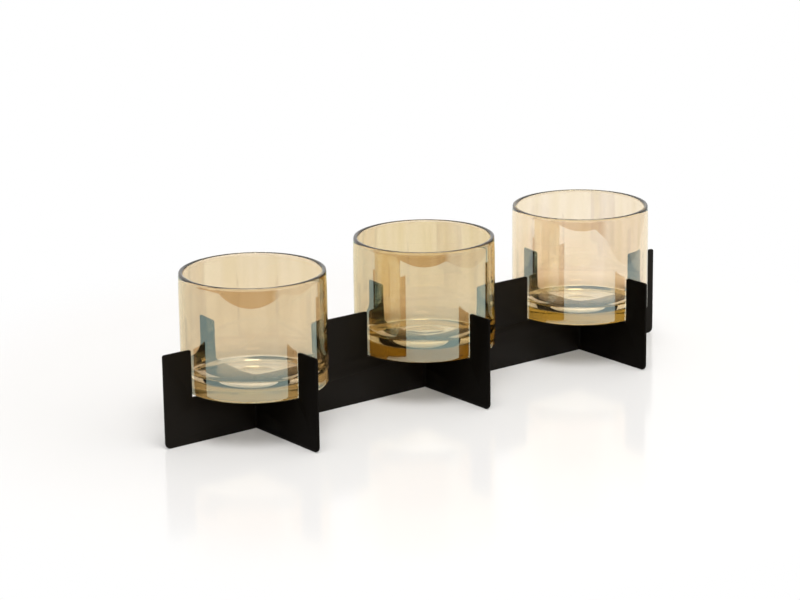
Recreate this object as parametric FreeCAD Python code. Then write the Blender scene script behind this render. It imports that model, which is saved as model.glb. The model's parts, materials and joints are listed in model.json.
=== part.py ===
import FreeCAD, Part
import math
import os

from FreeCAD import Vector

# Candle holder: three loose glass cups in a row, held by a stand of thin black steel plates on edge.
# One long plate runs under the whole row, and a shorter plate crosses it square under each cup.
# Every plate is notched from the top, so a cup stands on two crossed edges between upright wings.
# Millimetres, +Z up. The origin is on the floor under the middle cup, and +X runs along the row.

# Glass cups
cup_diameter = 100.0
cup_height = 79.0
cup_wall = 2.8
cup_base_thickness = 6.0
cup_inner_corner_radius = 13.0
cup_outer_corner_radius = 1.5
cup_foot_ring_width = 7.0
cup_underside_dish_depth = 0.8

# Steel plates
plate_thickness = 2.0
plate_height = 65.0
seat_height = 32.0
cup_side_clearance = 1.5
end_wing_width = 22.0
between_notches_width = 43.5
cross_wing_width = 20.5
wing_top_corner_radius = 1.5
notch_corner_radius = 0.5
foot_corner_radius = 4.0

# Half-lap slots where two plates cross
slot_side_clearance = 0.1

# Fillet welds in the four inner corners of each crossing
weld_leg = 1.5
weld_end_inset = 1.0
weld_bulge_share = 0.55

# Cuts run past the faces that they open by this much
cut_overrun = 1.0

# Places that follow from the sizes above
row_names = ("left", "middle", "right")
notch_width = cup_diameter + 2 * cup_side_clearance
cup_pitch = notch_width + between_notches_width
row_places = [(index - 1) * cup_pitch for index in range(len(row_names))]
long_plate_length = 2 * (cup_pitch + notch_width / 2 + end_wing_width)
cross_plate_length = notch_width + 2 * cross_wing_width
slot_width = plate_thickness + 2 * slot_side_clearance
slot_depth = seat_height / 2
quarter_arc_share = math.sqrt(0.5)


def rounded_outline(corners):
    """Closed wire in the XZ plane through square (x, z, radius) corners, each rounded by a tangent arc."""
    points = [Vector(x, 0, z) for x, z, radius in corners]
    arcs = []
    for index, (x, z, radius) in enumerate(corners):
        corner = points[index]
        to_last = (points[index - 1] - corner).normalize()
        to_next = (points[(index + 1) % len(points)] - corner).normalize()
        centre = corner + (to_last + to_next) * radius
        middle = centre - (to_last + to_next) * (radius * quarter_arc_share)
        arcs.append((corner + to_last * radius, middle, corner + to_next * radius))
    edges = []
    for index, (start, middle, end) in enumerate(arcs):
        next_start = arcs[(index + 1) % len(arcs)][0]
        edges.append(Part.Arc(start, middle, end).toShape())
        edges.append(Part.LineSegment(end, next_start).toShape())
    return Part.Wire(edges)


def notched_plate(length, notch_centres):
    """Plate on edge along X, with one notch from the top at each centre."""
    half_length = length / 2
    half_notch = notch_width / 2
    corners = [
        (half_length, 0, foot_corner_radius),
        (half_length, plate_height, wing_top_corner_radius),
    ]
    for centre in reversed(notch_centres):
        corners += [
            (centre + half_notch, plate_height, wing_top_corner_radius),
            (centre + half_notch, seat_height, notch_corner_radius),
            (centre - half_notch, seat_height, notch_corner_radius),
            (centre - half_notch, plate_height, wing_top_corner_radius),
        ]
    corners += [
        (-half_length, plate_height, wing_top_corner_radius),
        (-half_length, 0, foot_corner_radius),
    ]
    plate = Part.Face(rounded_outline(corners)).extrude(Vector(0, plate_thickness, 0))
    plate.translate(Vector(0, -plate_thickness / 2, 0))
    return plate


def slot_cutter(centre, low, high):
    """Block that cuts a half-lap slot across a plate that stands along X."""
    cutter = Part.makeBox(slot_width, plate_thickness + 2 * cut_overrun, high - low)
    cutter.translate(Vector(centre - slot_width / 2, -plate_thickness / 2 - cut_overrun, low))
    return cutter


def long_plate():
    """Plate under the whole row, with slots from below that drop over the cross plates."""
    plate = notched_plate(long_plate_length, row_places)
    for place in row_places:
        plate = plate.cut(slot_cutter(place, -cut_overrun, slot_depth))
    return plate


def cross_plate(place):
    """Plate across the row under one cup, with a slot from above that takes the long plate."""
    plate = notched_plate(cross_plate_length, [0])
    plate = plate.cut(slot_cutter(0, slot_depth, seat_height + cut_overrun))
    plate.rotate(Vector(0, 0, 0), Vector(0, 0, 1), 90)
    plate.translate(Vector(place, 0, 0))
    return plate


def weld_beads(place):
    """Four upright fillet beads, one in each inner corner of a crossing."""
    corner = plate_thickness / 2
    bulge = weld_leg * weld_bulge_share
    along_long_plate = Vector(corner + weld_leg, corner, weld_end_inset)
    along_cross_plate = Vector(corner, corner + weld_leg, weld_end_inset)
    root = Vector(corner, corner, weld_end_inset)
    crown = Vector(corner + bulge, corner + bulge, weld_end_inset)
    section = Part.Wire([
        Part.LineSegment(root, along_long_plate).toShape(),
        Part.Arc(along_long_plate, crown, along_cross_plate).toShape(),
        Part.LineSegment(along_cross_plate, root).toShape(),
    ])
    bead = Part.Face(section).extrude(Vector(0, 0, seat_height - 2 * weld_end_inset))
    beads = []
    for quarter_turns in range(4):
        turned = bead.copy()
        turned.rotate(Vector(0, 0, 0), Vector(0, 0, 1), 90 * quarter_turns)
        turned.translate(Vector(place, 0, 0))
        beads.append(turned)
    return Part.makeCompound(beads)


def quarter_arc(start, corner, end):
    """Quarter circle from start to end, tangent to the two lines that meet square at corner."""
    centre = start + end - corner
    middle = centre + (corner - centre) * quarter_arc_share
    return Part.Arc(start, middle, end).toShape()


def glass_cup(place):
    """Straight-sided cup with a thick base, turned about its own axis and stood on the crossed edges."""
    outer = cup_diameter / 2
    inner = outer - cup_wall
    rim_radius = cup_wall / 2
    rim_start = cup_height - rim_radius
    ring_outer = outer - cup_outer_corner_radius
    ring_inner = ring_outer - cup_foot_ring_width
    floor_edge = inner - cup_inner_corner_radius
    corner_top = cup_base_thickness + cup_inner_corner_radius
    dish_radius = (ring_inner ** 2 + cup_underside_dish_depth ** 2) / (2 * cup_underside_dish_depth)
    dish_half = ring_inner / 2
    dish_middle_z = cup_underside_dish_depth - dish_radius + math.sqrt(dish_radius ** 2 - dish_half ** 2)

    dish_top = Vector(0, 0, cup_underside_dish_depth)
    dish_middle = Vector(dish_half, 0, dish_middle_z)
    dish_edge = Vector(ring_inner, 0, 0)
    ring_edge = Vector(ring_outer, 0, 0)
    wall_foot = Vector(outer, 0, cup_outer_corner_radius)
    rim_outside = Vector(outer, 0, rim_start)
    rim_top = Vector(outer - rim_radius, 0, cup_height)
    rim_inside = Vector(inner, 0, rim_start)
    inner_wall_foot = Vector(inner, 0, corner_top)
    inner_floor_edge = Vector(floor_edge, 0, cup_base_thickness)
    inner_floor_centre = Vector(0, 0, cup_base_thickness)

    profile = Part.Wire([
        Part.Arc(dish_top, dish_middle, dish_edge).toShape(),
        Part.LineSegment(dish_edge, ring_edge).toShape(),
        quarter_arc(ring_edge, Vector(outer, 0, 0), wall_foot),
        Part.LineSegment(wall_foot, rim_outside).toShape(),
        Part.Arc(rim_outside, rim_top, rim_inside).toShape(),
        Part.LineSegment(rim_inside, inner_wall_foot).toShape(),
        quarter_arc(inner_wall_foot, Vector(inner, 0, cup_base_thickness), inner_floor_edge),
        Part.LineSegment(inner_floor_edge, inner_floor_centre).toShape(),
        Part.LineSegment(inner_floor_centre, dish_top).toShape(),
    ])
    cup = Part.Face(profile).revolve(Vector(0, 0, 0), Vector(0, 0, 1), 360)
    cup.translate(Vector(place, 0, seat_height))
    return cup


def write_part(name, shape):
    shape.exportStep(os.path.join("parts", name + ".step"))


os.makedirs("parts", exist_ok=True)
write_part("long_plate", long_plate())
for name, place in zip(row_names, row_places):
    write_part("cross_plate_" + name, cross_plate(place))
    write_part("weld_beads_" + name, weld_beads(place))
    write_part("glass_cup_" + name, glass_cup(place))

print("long plate length", long_plate_length)
print("cross plate length", cross_plate_length)
print("cup pitch", cup_pitch)
print("total height", seat_height + cup_height)
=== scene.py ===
import json
import math

import bpy
from mathutils import Matrix, Vector

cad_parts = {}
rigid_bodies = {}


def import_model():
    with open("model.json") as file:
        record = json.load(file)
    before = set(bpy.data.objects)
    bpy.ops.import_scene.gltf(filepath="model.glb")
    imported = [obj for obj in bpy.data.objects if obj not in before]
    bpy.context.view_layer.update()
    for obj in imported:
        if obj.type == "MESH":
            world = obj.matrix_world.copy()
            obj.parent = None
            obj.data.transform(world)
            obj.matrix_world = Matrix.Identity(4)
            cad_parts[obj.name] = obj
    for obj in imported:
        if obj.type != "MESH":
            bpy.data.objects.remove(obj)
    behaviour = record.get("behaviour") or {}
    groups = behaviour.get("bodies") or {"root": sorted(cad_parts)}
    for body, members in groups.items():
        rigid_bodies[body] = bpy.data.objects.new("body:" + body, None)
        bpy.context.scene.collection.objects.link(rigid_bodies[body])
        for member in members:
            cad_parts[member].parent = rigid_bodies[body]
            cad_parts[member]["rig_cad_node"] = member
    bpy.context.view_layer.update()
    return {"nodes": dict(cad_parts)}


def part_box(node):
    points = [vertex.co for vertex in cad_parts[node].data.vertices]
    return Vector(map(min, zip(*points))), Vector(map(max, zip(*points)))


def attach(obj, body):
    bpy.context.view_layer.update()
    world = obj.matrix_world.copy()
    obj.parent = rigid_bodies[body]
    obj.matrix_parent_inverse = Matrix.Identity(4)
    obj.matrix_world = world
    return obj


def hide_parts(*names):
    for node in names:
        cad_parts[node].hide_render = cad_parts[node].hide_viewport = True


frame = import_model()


# Long plate and the three cross plates that it drops over at half-lap slots.
# They are 2 mm steel sheet, cut by laser, stood on edge and welded, then powder coated matte black.
# The coat is thick: it rounds every cut edge a little and shows the fine grain of baked powder.
row_names = ("left", "middle", "right")
coat_edge_radius = 0.0004
coat_edge_segments = 3
sharp_edge_angle = math.radians(40)
merge_distance = 0.000001
flat_angle = math.radians(1)
coat_black = (0.0060, 0.0044, 0.0026)
coat_dusty_black = (0.0092, 0.0069, 0.0045)
coat_shine = 0.09
coat_grain_size = 0.0005
coat_grain_detail = 2
coat_grain_share = 0.5
coat_peel_size = 0.0022
coat_peel_detail = 1
coat_mottle_size = 0.014
coat_mottle_detail = 4
coat_roughness_low = 0.40
coat_roughness_high = 0.56
coat_bump_strength = 0.3
coat_bump_height = 0.00005
long_coat_shade = 1
# Painted shade: the cross plates' coat keeps half the colour and half the shine, so it comes out deeper and
# duller, standing in for the smaller share of light that falls on their faces.
cross_coat_painted_shade = 0.5


def feed(tree, socket, value):
    """Link another node's output to a socket, or set the socket's own number or colour."""
    if isinstance(value, bpy.types.NodeSocket):
        tree.links.new(value, socket)
    else:
        socket.default_value = value


def maths(tree, operation, *values):
    """Sum, product and so on of numbers and outputs."""
    step = tree.nodes.new("ShaderNodeMath")
    step.operation = operation
    for socket, value in zip(step.inputs, values):
        feed(tree, socket, value)
    return step.outputs["Value"]


def ramp(tree, value, start, end, low=0, high=1, curve="LINEAR"):
    """Goes from low to high as the value goes from start to end."""
    step = tree.nodes.new("ShaderNodeMapRange")
    step.interpolation_type = curve
    step.inputs["From Min"].default_value = start
    step.inputs["From Max"].default_value = end
    step.inputs["To Min"].default_value = low
    step.inputs["To Max"].default_value = high
    feed(tree, step.inputs["Value"], value)
    return step.outputs["Result"]


def blended(tree, kind, share, first, second):
    """Goes from the first colour or number to the second as the share goes from 0 to 1."""
    step = tree.nodes.new("ShaderNodeMix")
    step.data_type = kind
    feed(tree, step.inputs["Factor"], share)
    feed(tree, step.inputs["A"], first)
    feed(tree, step.inputs["B"], second)
    return step.outputs["Result"]


def clouds(tree, place, size, detail):
    """Soft uneven pattern with patches of about this size."""
    step = tree.nodes.new("ShaderNodeTexNoise")
    step.inputs["Scale"].default_value = 1 / size
    step.inputs["Detail"].default_value = detail
    feed(tree, step.inputs["Vector"], place)
    return step.outputs["Fac"]


def surface_group(name, given_sockets, result_sockets):
    """An empty node group with named inputs and outputs; gives the group and its two ends."""
    group = bpy.data.node_groups.new(name, "ShaderNodeTree")
    for direction, sockets in (("INPUT", given_sockets), ("OUTPUT", result_sockets)):
        for socket_name, kind in sockets:
            group.interface.new_socket(socket_name, in_out=direction, socket_type="NodeSocket" + kind)
    return group, group.nodes.new("NodeGroupInput"), group.nodes.new("NodeGroupOutput")


baked_powder, given, result = surface_group(
    "baked_powder",
    (("Place", "Vector"), ("Black", "Color"), ("Dusty Black", "Color")),
    (("Colour", "Color"), ("Roughness", "Float"), ("Height", "Float")),
)
place = given.outputs["Place"]
grain = clouds(baked_powder, place, coat_grain_size, coat_grain_detail)
peel = clouds(baked_powder, place, coat_peel_size, coat_peel_detail)
mottle = clouds(baked_powder, place, coat_mottle_size, coat_mottle_detail)
dusted = blended(baked_powder, "RGBA", mottle, given.outputs["Black"], given.outputs["Dusty Black"])
dulled = ramp(baked_powder, mottle, 0, 1, coat_roughness_low, coat_roughness_high)
raised = maths(baked_powder, "MULTIPLY_ADD", grain, coat_grain_share, peel)
feed(baked_powder, result.inputs["Colour"], dusted)
feed(baked_powder, result.inputs["Roughness"], dulled)
feed(baked_powder, result.inputs["Height"], raised)


def powder_coat(name, shade):
    """Matte black coat with a fine grain, a faint peel and a soft mottle of dust, its blacks and shine
    scaled down by the given share of painted shade.
    """
    material = bpy.data.materials.new(name)
    material.use_nodes = True
    tree = material.node_tree
    shader = tree.nodes["Principled BSDF"]
    shader.inputs["Specular IOR Level"].default_value = coat_shine * shade
    powder = tree.nodes.new("ShaderNodeGroup")
    powder.node_tree = baked_powder
    powder.inputs["Black"].default_value = [shade * part for part in coat_black] + [1]
    powder.inputs["Dusty Black"].default_value = [shade * part for part in coat_dusty_black] + [1]
    bump = tree.nodes.new("ShaderNodeBump")
    bump.inputs["Strength"].default_value = coat_bump_strength
    bump.inputs["Distance"].default_value = coat_bump_height
    feed(tree, powder.inputs["Place"], tree.nodes.new("ShaderNodeTexCoord").outputs["Object"])
    feed(tree, shader.inputs["Base Color"], powder.outputs["Colour"])
    feed(tree, shader.inputs["Roughness"], powder.outputs["Roughness"])
    feed(tree, bump.inputs["Height"], powder.outputs["Height"])
    feed(tree, shader.inputs["Normal"], bump.outputs["Normal"])
    return material


long_coat = powder_coat("matte_black_powder_coat", long_coat_shade)
# The cross plates get the same coat darkened by painted shade.
painted_shade_cross_coat = powder_coat("matte_black_powder_coat_cross_painted_shade", cross_coat_painted_shade)


def coated_plate(node_name, coat_material):
    """A merged copy of a cut plate, with the coat's small radius on every edge."""
    bpy.ops.object.select_all(action="DESELECT")
    plate = frame["nodes"][node_name].copy()
    plate.data = plate.data.copy()
    plate.parent = None
    del plate["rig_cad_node"]
    plate.name = node_name + "_coated"
    bpy.context.scene.collection.objects.link(plate)
    bpy.context.view_layer.objects.active = plate
    plate.select_set(True)
    bpy.ops.object.mode_set(mode="EDIT")
    bpy.ops.mesh.select_all(action="SELECT")
    bpy.ops.mesh.remove_doubles(threshold=merge_distance)
    bpy.ops.mesh.dissolve_limited(angle_limit=flat_angle)
    bpy.ops.object.mode_set(mode="OBJECT")
    rounding = plate.modifiers.new("coat_edge", "BEVEL")
    rounding.width = coat_edge_radius
    rounding.segments = coat_edge_segments
    rounding.limit_method = "ANGLE"
    rounding.angle_limit = sharp_edge_angle
    rounding.harden_normals = True
    bpy.ops.object.modifier_apply(modifier=rounding.name)
    bpy.ops.object.shade_smooth_by_angle(angle=sharp_edge_angle)
    plate.data.materials.clear()
    plate.data.materials.append(coat_material)
    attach(plate, "stand")
    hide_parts(node_name)


coated_plate("long_plate", long_coat)
for row_name in row_names:
    coated_plate("cross_plate_" + row_name, painted_shade_cross_coat)


# Weld beads: an upright fillet of weld metal in each of the four inner corners of a crossing.
# They hold the plates together for good. The welder went up in short steps, which left fine ripples,
# and the beads were coated together with the plates.
bead_step = 0.0015
bead_ripple_depth = 0.00012
bead_end_taper = 0.0004
bead_crown_share = 0.55
bead_sides = 128
quarter_turn = math.radians(90)

beads_low, beads_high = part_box("weld_beads_left")
crossing = (beads_low + beads_high) / 2
plate_low, plate_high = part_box("long_plate")
half_plate = (plate_high.y - plate_low.y) / 2
bead_leg = (beads_high.x - beads_low.x) / 2 - half_plate
# Each bead is a rod whose middle lies behind the corner, so that it bulges as little as a real fillet.
rod_set_back = bead_leg * (1 - 2 * bead_crown_share ** 2) / (4 * bead_crown_share - 2)
rod_radius = math.hypot(bead_leg + rod_set_back, rod_set_back)
rod_end_radius = rod_radius - bead_end_taper
weld_corner = Vector((crossing.x + half_plate, crossing.y + half_plate, beads_low.z))
rod_middle = weld_corner - Vector((rod_set_back, rod_set_back, 0))
# Every step of the weld is two rings: its full width, and the groove above it.
bead_rings = 2 * round((beads_high.z - beads_low.z) / bead_step)
ring_height = (beads_high.z - beads_low.z) / bead_rings

bpy.ops.object.select_all(action="DESELECT")
bpy.ops.mesh.primitive_circle_add(vertices=bead_sides, radius=rod_end_radius, fill_type="NGON",
                                  location=rod_middle)
first_bead = bpy.context.active_object
bpy.ops.object.transform_apply(location=True, rotation=True, scale=True)
bpy.ops.object.mode_set(mode="EDIT")
bpy.ops.mesh.select_all(action="SELECT")
last_radius = rod_end_radius
for ring in range(1, bead_rings + 1):
    in_groove = ring % 2 == 0
    radius = rod_radius - bead_ripple_depth * in_groove
    if ring == bead_rings:
        radius = rod_end_radius
    share = radius / last_radius
    bpy.ops.mesh.extrude_region_move(TRANSFORM_OT_translate={"value": (0, 0, ring_height)})
    bpy.ops.transform.resize(value=(share, share, 1), center_override=(rod_middle.x, rod_middle.y, 0))
    last_radius = radius
for face_direction in ((1, 0, 0), (0, 1, 0)):
    bpy.ops.mesh.select_all(action="SELECT")
    bpy.ops.mesh.bisect(plane_co=weld_corner, plane_no=face_direction, use_fill=True, clear_inner=True)
bpy.ops.mesh.select_all(action="SELECT")
bpy.ops.mesh.normals_make_consistent(inside=False)
bpy.ops.object.mode_set(mode="OBJECT")


def copy_to_move(piece):
    """A copy with its own mesh, all selected in edit mode."""
    bpy.ops.object.select_all(action="DESELECT")
    piece.select_set(True)
    bpy.context.view_layer.objects.active = piece
    bpy.ops.object.duplicate()
    bpy.ops.object.mode_set(mode="EDIT")
    bpy.ops.mesh.select_all(action="SELECT")
    return bpy.context.active_object


four_beads = [first_bead]
for quarters in range(1, 4):
    four_beads.append(copy_to_move(first_bead))
    bpy.ops.transform.rotate(value=quarters * quarter_turn, orient_axis="Z",
                             center_override=(crossing.x, crossing.y, 0))
    bpy.ops.object.mode_set(mode="OBJECT")
bpy.ops.object.select_all(action="DESELECT")
for bead in four_beads:
    bead.select_set(True)
bpy.context.view_layer.objects.active = first_bead
bpy.ops.object.join()
bpy.ops.object.shade_smooth_by_angle(angle=sharp_edge_angle)
# The beads carry the cross plates' coat, with its painted shade.
first_bead.data.materials.append(painted_shade_cross_coat)

crossing_beads = {"left": first_bead}
for row_name in ("middle", "right"):
    crossing_beads[row_name] = copy_to_move(first_bead)
    bpy.ops.transform.translate(value=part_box("weld_beads_" + row_name)[0] - beads_low)
    bpy.ops.object.mode_set(mode="OBJECT")
for row_name, beads in crossing_beads.items():
    beads.name = "weld_beads_" + row_name + "_coated"
    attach(beads, "stand")
    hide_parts("weld_beads_" + row_name)


# Three loose glass cups that stand in the notches, blown in a mould from faintly golden glass.
# A lustre of metal oxide, fired on the outer face of the wall, gives the amber tint and the half-mirror.
# No two cups are quite alike: the base, the corners and the lustre's depth differ a little.
cup_wall = 0.0028
foot_ring_width = 0.007
cup_sides = 192
# The cups stand a hair above the plates' edges, so that no two surfaces lie in one plane.
seat_gap = 0.00005
rim_edge_radius = 0.0006
rim_crown = 0.0002
rim_draw_in = 0.0005
rim_draw_height = 0.015
cup_base = {"left": 0.0072, "middle": 0.0058, "right": 0.0058}
cup_corner = {"left": 0.0135, "middle": 0.018, "right": 0.0135}
cup_outer_corner = {"left": 0.003, "middle": 0.0025, "right": 0.002}
# The middle cup was pushed up from below, so its underside is a deep dish and its floor a low dome.
underside_dish = {"left": 0.0008, "middle": 0.004, "right": 0.0008}
floor_dome = {"left": 0.0, "middle": 0.004, "right": 0.0}
floor_dimple = {"left": 0.0003, "middle": 0.0015, "right": 0.0002}
floor_dimple_radius = 0.0145
# Rings in each stretch of a cup's outline.
dish_steps = 28
outer_corner_steps = 8
wall_steps = 24
rim_edge_steps = 8
rim_top_steps = 6
inner_corner_steps = 20
floor_steps = 30
# The glass takes up a little light on its way, more of the blue than of the rest.
glass_index = 1.5
glass_colour = {
    "left": (0.53, 0.46, 0.06, 1),
    "middle": (0.72, 0.61, 0.10, 1),
    "right": (0.75, 0.65, 0.06, 1),
}
glass_density = {"left": 11, "middle": 40, "right": 28}
# Bare glass is almost clear. The rim, seen along the glass, looks browner.
bare_glass = (0.99, 0.98, 0.96, 1)
rim_glass = (0.85, 0.74, 0.56, 1)
bare_mirror = (0.94, 0.90, 0.78, 1)
# The lustre is a film some 30 nanometres deep. It tints what is mirrored and what shines through.
lustre_film = {"left": 30, "middle": 34, "right": 32}
lustre_film_index = 2.3
lustre_mirror = {
    "left": (0.82, 0.93, 0.66, 1),
    "middle": (0.85, 0.98, 0.68, 1),
    "right": (0.90, 0.99, 0.78, 1),
}
lustre_thin = {
    "left": (0.675, 0.485, 0.245, 1),
    "middle": (0.71, 0.53, 0.27, 1),
    "right": (0.97, 0.78, 0.585, 1),
}
lustre_deep = {
    "left": (0.615, 0.42, 0.185, 1),
    "middle": (0.64, 0.445, 0.185, 1),
    "right": (0.88, 0.675, 0.42, 1),
}
# It ran down the wall a little before it was fired, which left tall soft streaks.
streak_width = 0.011
streak_height_share = 0.12
streak_detail = 2
streak_middle = 0.5
streak_spread = 0.16
# The lustre stops short of the rim's top, in a soft edge.
lustre_edge = 0.001
rim_bare_height = 0.0012


def vector_maths(tree, operation, output_name, *values):
    """Difference, length and so on of directions and places."""
    step = tree.nodes.new("ShaderNodeVectorMath")
    step.operation = operation
    for socket, value in zip(step.inputs, values):
        feed(tree, socket, value)
    return step.outputs[output_name]


def below_wall_top(tree, above_foot, wall_top):
    """0 on the rim and 1 on the glass below it."""
    level = tree.nodes.new("ShaderNodeSeparateXYZ")
    feed(tree, level.inputs["Vector"], above_foot)
    return ramp(tree, maths(tree, "SUBTRACT", wall_top, level.outputs["Z"]), 0, lustre_edge)


fired_lustre, given, result = surface_group(
    "fired_lustre",
    (("Place", "Vector"), ("Foot", "Vector"), ("Thin", "Color"), ("Deep", "Color"), ("Wall Top", "Float")),
    (("Colour", "Color"), ("Bare Colour", "Color")),
)
stretched = fired_lustre.nodes.new("ShaderNodeMapping")
stretched.inputs["Scale"].default_value = (1, 1, streak_height_share)
feed(fired_lustre, stretched.inputs["Vector"], given.outputs["Place"])
streaks = clouds(fired_lustre, stretched.outputs["Vector"], streak_width, streak_detail)
streak_depth = ramp(fired_lustre, streaks, streak_middle - streak_spread, streak_middle + streak_spread)
streaked = blended(fired_lustre, "RGBA", streak_depth, given.outputs["Thin"], given.outputs["Deep"])
above_foot = vector_maths(fired_lustre, "SUBTRACT", "Vector", given.outputs["Place"], given.outputs["Foot"])
off_rim = below_wall_top(fired_lustre, above_foot, given.outputs["Wall Top"])
feed(fired_lustre, result.inputs["Colour"], streaked)
feed(fired_lustre, result.inputs["Bare Colour"],
     blended(fired_lustre, "RGBA", off_rim, rim_glass, bare_glass))


def lustre_glass(row_name, foot, outer, height):
    """Glass of one cup: streaked lustre on the outer face of the wall, and bare glass all over the rest."""
    material = bpy.data.materials.new("amber_lustre_glass_" + row_name)
    material.use_nodes = True
    tree = material.node_tree
    output = tree.nodes["Material Output"]
    coated = tree.nodes["Principled BSDF"]
    bare = tree.nodes.new("ShaderNodeBsdfPrincipled")
    for shader in (coated, bare):
        shader.inputs["Transmission Weight"].default_value = 1
        shader.inputs["Roughness"].default_value = 0
        shader.inputs["IOR"].default_value = glass_index
    bare.inputs["Specular Tint"].default_value = bare_mirror
    coated.inputs["Specular Tint"].default_value = lustre_mirror[row_name]
    coated.inputs["Thin Film Thickness"].default_value = lustre_film[row_name]
    coated.inputs["Thin Film IOR"].default_value = lustre_film_index
    body = tree.nodes.new("ShaderNodeVolumeAbsorption")
    body.inputs["Color"].default_value = glass_colour[row_name]
    body.inputs["Density"].default_value = glass_density[row_name]
    place = tree.nodes.new("ShaderNodeTexCoord").outputs["Object"]
    wall_top = height - rim_bare_height
    fired = tree.nodes.new("ShaderNodeGroup")
    fired.node_tree = fired_lustre
    fired.inputs["Foot"].default_value = foot
    fired.inputs["Thin"].default_value = lustre_thin[row_name]
    fired.inputs["Deep"].default_value = lustre_deep[row_name]
    fired.inputs["Wall Top"].default_value = wall_top
    feed(tree, fired.inputs["Place"], place)
    feed(tree, coated.inputs["Base Color"], fired.outputs["Colour"])
    feed(tree, bare.inputs["Base Color"], fired.outputs["Bare Colour"])
    # Anything further out than the middle of the wall is its outer face.
    above_foot = vector_maths(tree, "SUBTRACT", "Vector", place, foot)
    across = vector_maths(tree, "MULTIPLY", "Vector", above_foot, (1, 1, 0))
    from_axis = vector_maths(tree, "LENGTH", "Value", across)
    past_wall_middle = maths(tree, "SUBTRACT", from_axis, outer - cup_wall / 2)
    on_outside = ramp(tree, past_wall_middle, 0, lustre_edge)
    cover = maths(tree, "MULTIPLY", on_outside, below_wall_top(tree, above_foot, wall_top))
    both = tree.nodes.new("ShaderNodeMixShader")
    feed(tree, both.inputs["Fac"], cover)
    tree.links.new(bare.outputs["BSDF"], both.inputs[1])
    tree.links.new(coated.outputs["BSDF"], both.inputs[2])
    tree.links.new(both.outputs["Shader"], output.inputs["Surface"])
    tree.links.new(body.outputs["Volume"], output.inputs["Volume"])
    return material


def glass_cup(row_name):
    """One cup, turned up ring by ring from the middle of its underside, over the rim, to its floor."""
    low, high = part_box("glass_cup_" + row_name)
    centre = (low + high) / 2
    foot = Vector((centre.x, centre.y, low.z))
    outer = (high.x - low.x) / 2
    height = high.z - low.z
    inner = outer - cup_wall
    base = cup_base[row_name]
    inner_corner = cup_corner[row_name]
    outer_corner = cup_outer_corner[row_name]
    rim = rim_edge_radius + rim_crown
    ring_outer = outer - outer_corner
    ring_inner = ring_outer - foot_ring_width
    floor_edge = inner - inner_corner

    def bowl(radius, edge, depth):
        return depth * max(0, 1 - (radius / edge) ** 2)

    def drawn_in(level):
        above = max(0, level - (height - rim_draw_height)) / rim_draw_height
        return rim_draw_in * above ** 2

    profile = []
    for step in range(1, dish_steps + 1):
        radius = ring_inner * step / dish_steps
        profile.append((radius, seat_gap + bowl(radius, ring_inner, underside_dish[row_name])))
    profile.append((ring_outer, seat_gap))
    for step in range(1, outer_corner_steps + 1):
        turn = quarter_turn * step / outer_corner_steps
        profile.append((ring_outer + outer_corner * math.sin(turn),
                        outer_corner * (1 - math.cos(turn)) + seat_gap))
    for step in range(1, wall_steps + 1):
        level = outer_corner + (height - rim - outer_corner) * step / wall_steps
        profile.append((outer - drawn_in(level), level))
    top = drawn_in(height)
    for step in range(1, rim_edge_steps + 1):
        turn = quarter_turn * step / rim_edge_steps
        profile.append((outer - top - rim_edge_radius * (1 - math.cos(turn)),
                        height - rim_crown - rim_edge_radius * (1 - math.sin(turn))))
    for step in range(1, rim_top_steps):
        across_rim = 2 * step / rim_top_steps - 1
        profile.append((outer - top - cup_wall / 2 - across_rim * (cup_wall / 2 - rim_edge_radius),
                        height - rim_crown * across_rim ** 2))
    for step in range(rim_edge_steps + 1):
        turn = quarter_turn * (1 - step / rim_edge_steps)
        profile.append((inner - top + rim_edge_radius * (1 - math.cos(turn)),
                        height - rim_crown - rim_edge_radius * (1 - math.sin(turn))))
    for step in range(1, wall_steps + 1):
        level = height - rim - (height - rim - base - inner_corner) * step / wall_steps
        profile.append((inner - drawn_in(level), level))
    for step in range(1, inner_corner_steps + 1):
        turn = quarter_turn * step / inner_corner_steps
        profile.append((inner - inner_corner * (1 - math.cos(turn)),
                        base + inner_corner * (1 - math.sin(turn))))
    for step in range(1, floor_steps):
        radius = floor_edge * (1 - step / floor_steps)
        profile.append((radius, base + bowl(radius, floor_edge, floor_dome[row_name])
                        - bowl(radius, floor_dimple_radius, floor_dimple[row_name])))

    last_radius, last_level = profile[0]
    bpy.ops.object.select_all(action="DESELECT")
    bpy.ops.mesh.primitive_circle_add(vertices=cup_sides, radius=last_radius, fill_type="TRIFAN",
                                      location=foot + Vector((0, 0, last_level)))
    cup = bpy.context.active_object
    cup.name = "glass_cup_" + row_name + "_blown"
    bpy.ops.object.transform_apply(location=True, rotation=True, scale=True)
    bpy.ops.object.mode_set(mode="EDIT")
    bpy.ops.mesh.select_all(action="SELECT")
    bpy.ops.mesh.region_to_loop()
    for radius, level in profile[1:]:
        share = radius / last_radius
        bpy.ops.mesh.extrude_edges_move()
        bpy.ops.transform.resize(value=(share, share, 1), center_override=(centre.x, centre.y, 0))
        bpy.ops.transform.translate(value=(0, 0, level - last_level))
        last_radius = radius
        last_level = level
    bpy.ops.mesh.fill()
    bpy.ops.mesh.poke()
    bpy.ops.mesh.select_all(action="SELECT")
    bpy.ops.mesh.normals_make_consistent(inside=False)
    bpy.ops.object.mode_set(mode="OBJECT")
    bpy.ops.object.shade_smooth()
    cup.data.materials.append(lustre_glass(row_name, foot, outer, height))
    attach(cup, "cup_" + row_name)
    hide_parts("glass_cup_" + row_name)


for row_name in row_names:
    glass_cup(row_name)


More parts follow.
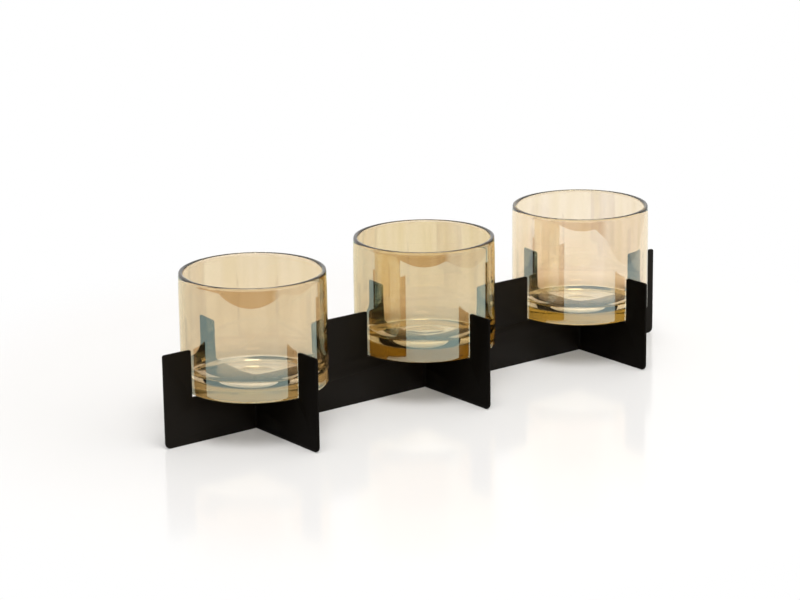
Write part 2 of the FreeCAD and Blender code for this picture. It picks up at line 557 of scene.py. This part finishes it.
# Floor: a white table top, a little glossy, set square to the camera and not to the stand.
# Round the stand it takes the light and shade. Further out it goes over to plain white, so that
# its edges show only where the glass mirrors or bends them.
camera_heading = math.radians(37.6503)
camera_right = Vector((math.cos(camera_heading), -math.sin(camera_heading), 0))
towards_camera = Vector((-math.sin(camera_heading), -math.cos(camera_heading), 0))
table_front = 0.515
table_right = 0.431
table_right_slant = 0.17
table_far = 1.3
table_white = (0.90, 0.89, 0.88, 1)
table_roughness = 0.12
table_lift = 0.10
table_lift_through_glass = 0.06
table_fade_start = 0.28
table_fade_end = 0.42
bpy.ops.object.select_all(action="DESELECT")
bpy.ops.mesh.primitive_plane_add(size=2 * table_far, rotation=(0, 0, -camera_heading), location=(0, 0, 0))
table = bpy.context.active_object
table.name = "table_top"
bpy.ops.object.transform_apply(location=True, rotation=True, scale=True)
bpy.ops.object.mode_set(mode="EDIT")
bpy.ops.mesh.select_all(action="SELECT")
bpy.ops.mesh.bisect(plane_co=towards_camera * table_front, plane_no=towards_camera, clear_outer=True)
bpy.ops.mesh.select_all(action="SELECT")
bpy.ops.mesh.bisect(plane_co=camera_right * table_right,
                    plane_no=camera_right + towards_camera * table_right_slant, clear_outer=True)
bpy.ops.object.mode_set(mode="OBJECT")

table_material = bpy.data.materials.new("white_table")
table_material.use_nodes = True
# The table's own faint glow is for the eye only, so it isn't a lamp.
table_material.cycles.emission_sampling = "NONE"
tree = table_material.node_tree
table_shader = tree.nodes["Principled BSDF"]
table_shader.inputs["Base Color"].default_value = table_white
table_shader.inputs["Roughness"].default_value = table_roughness
path = tree.nodes.new("ShaderNodeLightPath")
only_seen = maths(tree, "SUBTRACT", 1, path.outputs["Is Diffuse Ray"])
lift_for_ray = maths(tree, "MULTIPLY_ADD", path.outputs["Is Transmission Ray"],
                     table_lift_through_glass, table_lift)
lift = tree.nodes.new("ShaderNodeEmission")
feed(tree, lift.inputs["Strength"], maths(tree, "MULTIPLY", only_seen, lift_for_ray))
plain = tree.nodes.new("ShaderNodeEmission")
feed(tree, plain.inputs["Strength"], only_seen)
lifted = tree.nodes.new("ShaderNodeAddShader")
tree.links.new(table_shader.outputs["BSDF"], lifted.inputs[0])
tree.links.new(lift.outputs["Emission"], lifted.inputs[1])
place = tree.nodes.new("ShaderNodeTexCoord").outputs["Object"]
from_middle = vector_maths(tree, "LENGTH", "Value", place)
table_blend = tree.nodes.new("ShaderNodeMixShader")
feed(tree, table_blend.inputs["Fac"],
     ramp(tree, from_middle, table_fade_start, table_fade_end, curve="SMOOTHSTEP"))
tree.links.new(lifted.outputs["Shader"], table_blend.inputs[1])
tree.links.new(plain.outputs["Emission"], table_blend.inputs[2])
tree.links.new(table_blend.outputs["Shader"], tree.nodes["Material Output"].inputs["Surface"])
table.data.materials.append(table_material)


# Studio light, all in the world: a wide softbox overhead, a little to the front, and an even fill
# that is stronger from the camera's right. The mirrors in the glass see the room instead: a small
# lamp overhead, dark in front and to the left, dimmer on the right, and white elsewhere.
fill_level = 0.62
fill_side_share = 0.8
softbox_level = 5.0
softbox_elevation = math.radians(70)
softbox_heading = Vector((-0.45, -0.89, 0)).normalized()
softbox_half_angle = math.radians(17)
softbox_soft_edge = 0.06
softbox_front_edge = 0.2
lamp_level = 3.0
lamp_half_angle = math.radians(8)
lamp_soft_edge = 0.03
dark_front_level = 0.02
dark_front_turn = 0.5
dark_front_start = 0.35
dark_front_end = 0.62
dim_side_level = 0.75
dim_side_start = 0.3
dim_side_end = 0.6
warm_light = (1, 0.992, 0.982, 1)
white_light = (1, 1, 1, 1)
before_first_bounce = 0.5
# Keeps the divisions below away from zero.
least_ahead = 0.001

softbox_middle = softbox_heading * math.cos(softbox_elevation) + Vector((0, 0, math.sin(softbox_elevation)))
softbox_side = softbox_heading.cross(Vector((0, 0, 1)))
softbox_up = softbox_side.cross(softbox_middle)

world = bpy.data.worlds.new("studio")
bpy.context.scene.world = world
world.use_nodes = True
studio = world.node_tree
background = studio.nodes["Background"]
direction = studio.nodes.new("ShaderNodeTexCoord").outputs["Generated"]
path = studio.nodes.new("ShaderNodeLightPath")


def along(axis):
    """How far each direction goes along an axis."""
    return vector_maths(studio, "DOT_PRODUCT", "Value", direction, axis)


def smooth(value, start, end):
    """Goes softly from 0 at start to 1 at end."""
    return ramp(studio, value, start, end, curve="SMOOTHSTEP")


ahead = maths(studio, "MAXIMUM", along(softbox_middle), least_ahead)
sideways = maths(studio, "ABSOLUTE", maths(studio, "DIVIDE", along(softbox_side), ahead))
upwards = maths(studio, "ABSOLUTE", maths(studio, "DIVIDE", along(softbox_up), ahead))
in_front = smooth(along(softbox_middle), 0, softbox_front_edge)


def lit_square(half_angle, soft_edge, level):
    """A square of light round the softbox's middle, with soft edges."""
    half_side = math.tan(half_angle)
    in_width = smooth(sideways, half_side + soft_edge, half_side - soft_edge)
    in_length = smooth(upwards, half_side + soft_edge, half_side - soft_edge)
    inside = maths(studio, "MULTIPLY", maths(studio, "MULTIPLY", in_width, in_length), in_front)
    return maths(studio, "MULTIPLY", inside, level)


fill = maths(studio, "MULTIPLY_ADD", along(camera_right), fill_level * fill_side_share, fill_level)
lighting = maths(studio, "ADD", lit_square(softbox_half_angle, softbox_soft_edge, softbox_level), fill)

dark_heading = towards_camera - dark_front_turn * camera_right
in_dark_front = smooth(along(dark_heading), dark_front_start, dark_front_end)
dark_front = maths(studio, "MULTIPLY", in_dark_front, 1 - dark_front_level)
dim_side = maths(studio, "MULTIPLY", smooth(along(camera_right), dim_side_start, dim_side_end),
                 1 - dim_side_level)
front_left_lit = maths(studio, "SUBTRACT", 1, dark_front)
side_left_lit = maths(studio, "SUBTRACT", 1, dim_side)
room = maths(studio, "MULTIPLY", front_left_lit, side_left_lit)
mirrored = maths(studio, "ADD", room, lit_square(lamp_half_angle, lamp_soft_edge, lamp_level))

# At the camera's own rays and through clear glass the world is plain white.
no_diffuse = maths(studio, "LESS_THAN", path.outputs["Diffuse Depth"], before_first_bounce)
no_glossy = maths(studio, "LESS_THAN", path.outputs["Glossy Depth"], before_first_bounce)
seen_by = maths(studio, "MAXIMUM", path.outputs["Is Camera Ray"], path.outputs["Is Transmission Ray"])
straight = maths(studio, "MULTIPLY", maths(studio, "MULTIPLY", no_diffuse, no_glossy), seen_by)
singular = maths(studio, "MULTIPLY", path.outputs["Is Singular Ray"], no_diffuse)
in_mirror = maths(studio, "MULTIPLY", singular, maths(studio, "SUBTRACT", 1, straight))
level = blended(studio, "FLOAT", in_mirror, lighting, mirrored)
level = blended(studio, "FLOAT", straight, level, 1.0)
only_seen = maths(studio, "MAXIMUM", straight, in_mirror)
feed(studio, background.inputs["Strength"], level)
feed(studio, background.inputs["Color"], blended(studio, "RGBA", only_seen, warm_light, white_light))


# Camera, as fitted to the photograph: place in metres, lens and sensor in millimetres.
# Light goes round many times inside thick glass before it leaves, so its rays get many bounces.
camera_place = Vector((-1.12125, -1.42509, 0.56112))
camera_dip = math.radians(15.3267)
camera_roll = math.radians(-0.7262)
camera_lens = 119.655
camera_sensor = 36
camera_reach = 50
glass_bounces = 24
mirror_bounces = 16
camera_data = bpy.data.cameras.new("camera")
camera_data.lens = camera_lens
camera_data.sensor_width = camera_sensor
camera_data.clip_end = camera_reach
camera = bpy.data.objects.new("camera", camera_data)
bpy.context.scene.collection.objects.link(camera)
camera.matrix_world = (
    Matrix.Translation(camera_place)
    @ Matrix.Rotation(-camera_heading, 4, "Z")
    @ Matrix.Rotation(quarter_turn - camera_dip, 4, "X")
    @ Matrix.Rotation(camera_roll, 4, "Z")
)
bpy.context.scene.camera = camera
bpy.context.scene.view_settings.view_transform = "Standard"
bpy.context.scene.cycles.max_bounces = glass_bounces
bpy.context.scene.cycles.transmission_bounces = glass_bounces
bpy.context.scene.cycles.glossy_bounces = mirror_bounces
